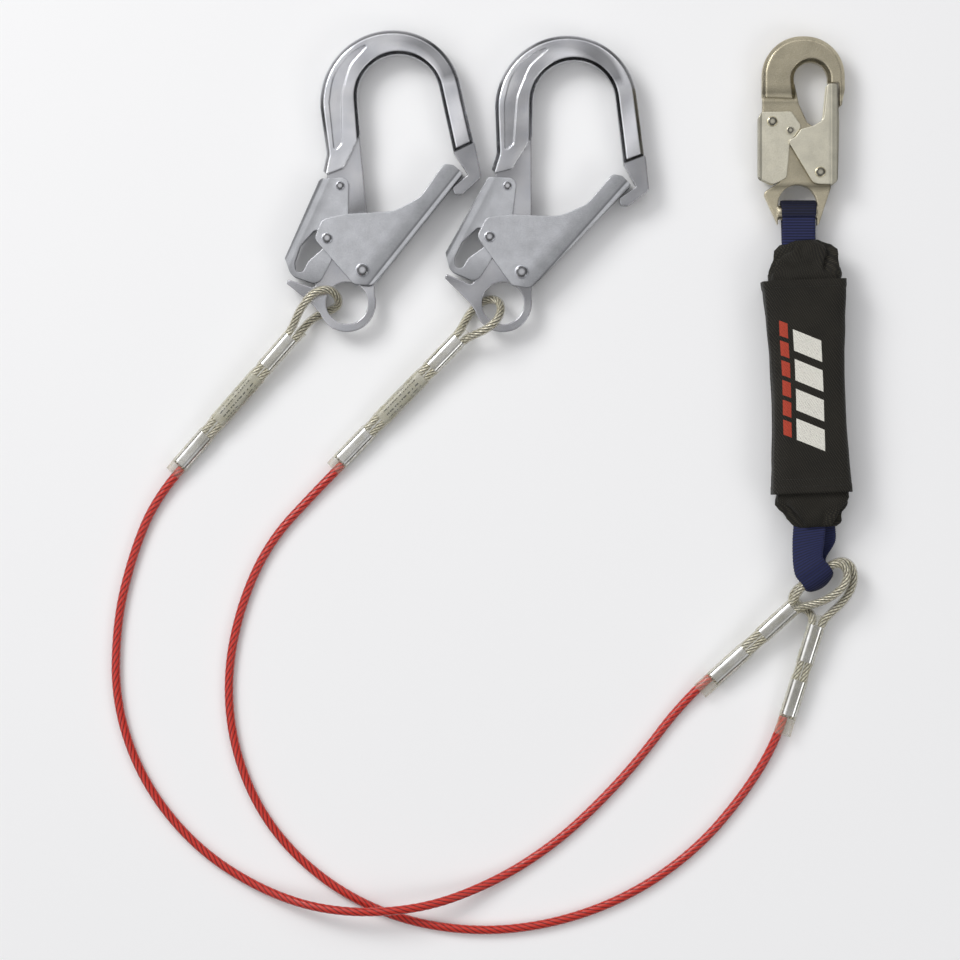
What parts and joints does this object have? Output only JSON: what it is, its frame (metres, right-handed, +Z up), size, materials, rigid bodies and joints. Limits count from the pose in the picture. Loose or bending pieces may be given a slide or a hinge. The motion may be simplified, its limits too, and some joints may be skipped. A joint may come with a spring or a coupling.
{
  "type": "shock absorbing lanyard",
  "caption": "Twin-leg energy-absorbing lanyard: locking snap hook, soft tear pack and coated wire-rope legs that end in large locking rebar hooks.",
  "frame": {"origin": "on the surface it lies on, under the middle of the hooks and pack", "axes": "+Z up from the surface; +Y from the leg loop towards the hooks' bows; +X from the rebar hooks towards the pack"},
  "size_m": [0.57, 0.6895, 0.034],
  "materials": {
    "zinc_steel": "yellowish zinc-plated forged steel",
    "aluminium": "polished forged aluminium",
    "stamped_steel": "plated stamped steel, fine grain",
    "bright_steel": "bright plated steel",
    "ferrule": "pressed aluminium ferrules",
    "black_fabric": "charcoal ballistic nylon",
    "blue_webbing": "ribbed navy polyester webbing",
    "white_webbing": "undyed tear webbing",
    "paper": "printed coated label",
    "red_jacket": "translucent red PVC over wire rope",
    "wire_rope": "galvanised wire rope",
    "clear_plastic": "clear PVC tube"
  },
  "bodies": {
    "pack": {"pack_wrap": "black_fabric", "pack_sleeve": "black_fabric", "closure_hook_strip": "black_fabric", "closure_loop_strip": "black_fabric", "label_booklet": "paper", "tear_webbing": "white_webbing", "backup_webbing": "white_webbing", "top_webbing_loop": "blue_webbing", "bar_wear_pad": "blue_webbing", "bottom_webbing_loop": "blue_webbing", "left_cable_jacket": "red_jacket", "left_cable_core": "wire_rope", "left_hook_eye_rope": "wire_rope", "left_hook_eye_tube": "clear_plastic", "left_hook_ferrules": "ferrule", "left_hook_clear_sleeve": "clear_plastic", "left_pack_eye_rope": "wire_rope", "left_pack_eye_tube": "clear_plastic", "left_pack_ferrules": "ferrule", "left_pack_clear_sleeve": "clear_plastic", "left_hook_label": "paper", "right_cable_jacket": "red_jacket", "right_cable_core": "wire_rope", "right_hook_eye_rope": "wire_rope", "right_hook_eye_tube": "clear_plastic", "right_hook_ferrules": "ferrule", "right_hook_clear_sleeve": "clear_plastic", "right_pack_eye_rope": "wire_rope", "right_pack_eye_tube": "clear_plastic", "right_pack_ferrules": "ferrule", "right_pack_clear_sleeve": "clear_plastic", "right_hook_label": "paper"},
    "snap_hook": {"snap_hook_body": "zinc_steel", "snap_gate_rivet": "zinc_steel", "snap_lever_rivet": "zinc_steel", "snap_gate_spring": "bright_steel", "snap_lever_spring": "bright_steel"},
    "snap_gate": {"snap_gate": "zinc_steel"},
    "snap_lock": {"snap_lock_lever": "zinc_steel", "snap_stop_pins": "zinc_steel"},
    "left_hook": {"left_hook_body": "aluminium", "left_gate_rivet": "bright_steel", "left_lever_rivet": "bright_steel", "left_gate_spring": "bright_steel", "left_lever_spring": "bright_steel"},
    "left_gate": {"left_gate": "stamped_steel", "left_lock_pin": "bright_steel"},
    "left_lock": {"left_lock_lever": "stamped_steel"},
    "right_hook": {"right_hook_body": "aluminium", "right_gate_rivet": "bright_steel", "right_lever_rivet": "bright_steel", "right_gate_spring": "bright_steel", "right_lever_spring": "bright_steel"},
    "right_gate": {"right_gate": "stamped_steel", "right_lock_pin": "bright_steel"},
    "right_lock": {"right_lock_lever": "stamped_steel"}
  },
  "joints": [
    {"name": "snap_hook_swing", "type": "hinge", "parent": "pack", "child": "snap_hook", "pos_m": [0.1734, 0.0775, 0.0125], "axis": [1, 0, 0], "range_deg": [0, 110]},
    {"name": "snap_gate_open", "type": "hinge", "parent": "snap_hook", "child": "snap_gate", "pos_m": [0.1904, 0.108, 0.0125], "axis": [0, 0, 1], "range_deg": [0, 20], "stiffness_Nm_per_rad": 0.4, "springref_deg": -20.05},
    {"name": "snap_lock_squeeze", "type": "hinge", "parent": "snap_hook", "child": "snap_lock", "pos_m": [0.1541, 0.1466, 0.0125], "axis": [0, 0, 1], "range_deg": [0, 16], "stiffness_Nm_per_rad": 0.3, "springref_deg": -17.19},
    {"name": "left_hook_swing", "type": "hinge", "parent": "pack", "child": "left_hook", "pos_m": [-0.1694, 0.0086, 0.0125], "axis": [0, 0, 1], "range_deg": [0, 15]},
    {"name": "left_gate_open", "type": "hinge", "parent": "left_hook", "child": "left_gate", "pos_m": [-0.1576, 0.0334, 0.0125], "axis": [0, 0, 1], "range_deg": [0, 38], "stiffness_Nm_per_rad": 0.5, "springref_deg": -22.92},
    {"name": "left_lock_squeeze", "type": "hinge", "parent": "left_hook", "child": "left_lock", "pos_m": [-0.1746, 0.0977, 0.0125], "axis": [0, 0, 1], "range_deg": [0, 9.5], "stiffness_Nm_per_rad": 0.4, "springref_deg": -17.19},
    {"name": "right_hook_swing", "type": "hinge", "parent": "pack", "child": "right_hook", "pos_m": [-0.0507, 0.0085, 0.0125], "axis": [0, 0, 1], "range_deg": [-25, 3]},
    {"name": "right_gate_open", "type": "hinge", "parent": "right_hook", "child": "right_gate", "pos_m": [-0.03658, 0.03206, 0.0125], "axis": [0, 0, 1], "range_deg": [0, 38], "stiffness_Nm_per_rad": 0.5, "springref_deg": -22.92},
    {"name": "right_lock_squeeze", "type": "hinge", "parent": "right_hook", "child": "right_lock", "pos_m": [-0.04734, 0.09769, 0.0125], "axis": [0, 0, 1], "range_deg": [0, 9.5], "stiffness_Nm_per_rad": 0.4, "springref_deg": -17.19}
  ],
  "couplings": [
    {"joint": "snap_lock_squeeze", "follows": "snap_gate_open", "ratio": 0.8},
    {"joint": "left_lock_squeeze", "follows": "left_gate_open", "ratio": 0.25},
    {"joint": "right_lock_squeeze", "follows": "right_gate_open", "ratio": 0.25}
  ]
}
